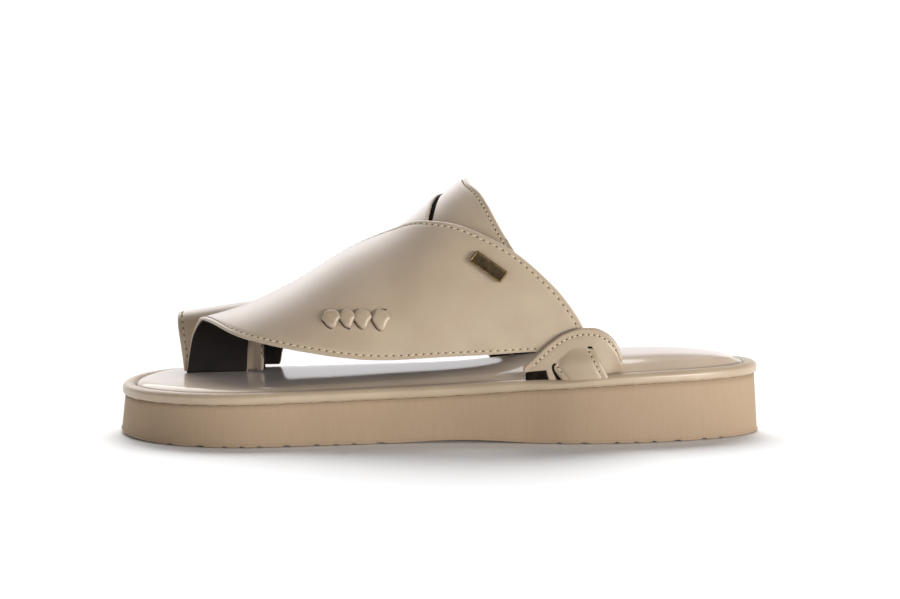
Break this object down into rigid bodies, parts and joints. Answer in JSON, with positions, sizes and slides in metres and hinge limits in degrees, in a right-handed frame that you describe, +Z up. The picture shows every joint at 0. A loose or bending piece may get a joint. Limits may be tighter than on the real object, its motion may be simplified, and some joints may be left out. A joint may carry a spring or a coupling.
{
  "type": "arabic sandal",
  "caption": "Left leather sandal with crossed straps over the instep, a big-toe ring, side loops, a padded insole and a thick flared sole.",
  "frame": {"origin": "on the floor under the middle of the sole's box", "axes": "+X from toe to heel, -Y to the outer side of the foot, +Z up"},
  "size_m": [0.284, 0.101, 0.1123],
  "materials": {
    "sole": "light tan moulded sole with a finely buffed side, matt",
    "leather": "smooth beige leather with a soft sheen and stitched edges",
    "insole": "smooth beige leather over padding",
    "badge": "antique brass, darkened field and worn bright border"
  },
  "bodies": {
    "root": {"outsole": "sole", "rand": "leather", "insole": "insole", "upper": "leather", "side_loop_lateral": "leather", "side_wrap_lateral": "leather", "side_loop_medial": "leather", "side_wrap_medial": "leather", "lacing_tab_1": "leather", "lacing_tab_2": "leather", "lacing_tab_3": "leather", "lacing_tab_4": "leather", "badge_plate": "badge"}
  },
  "joints": []
}
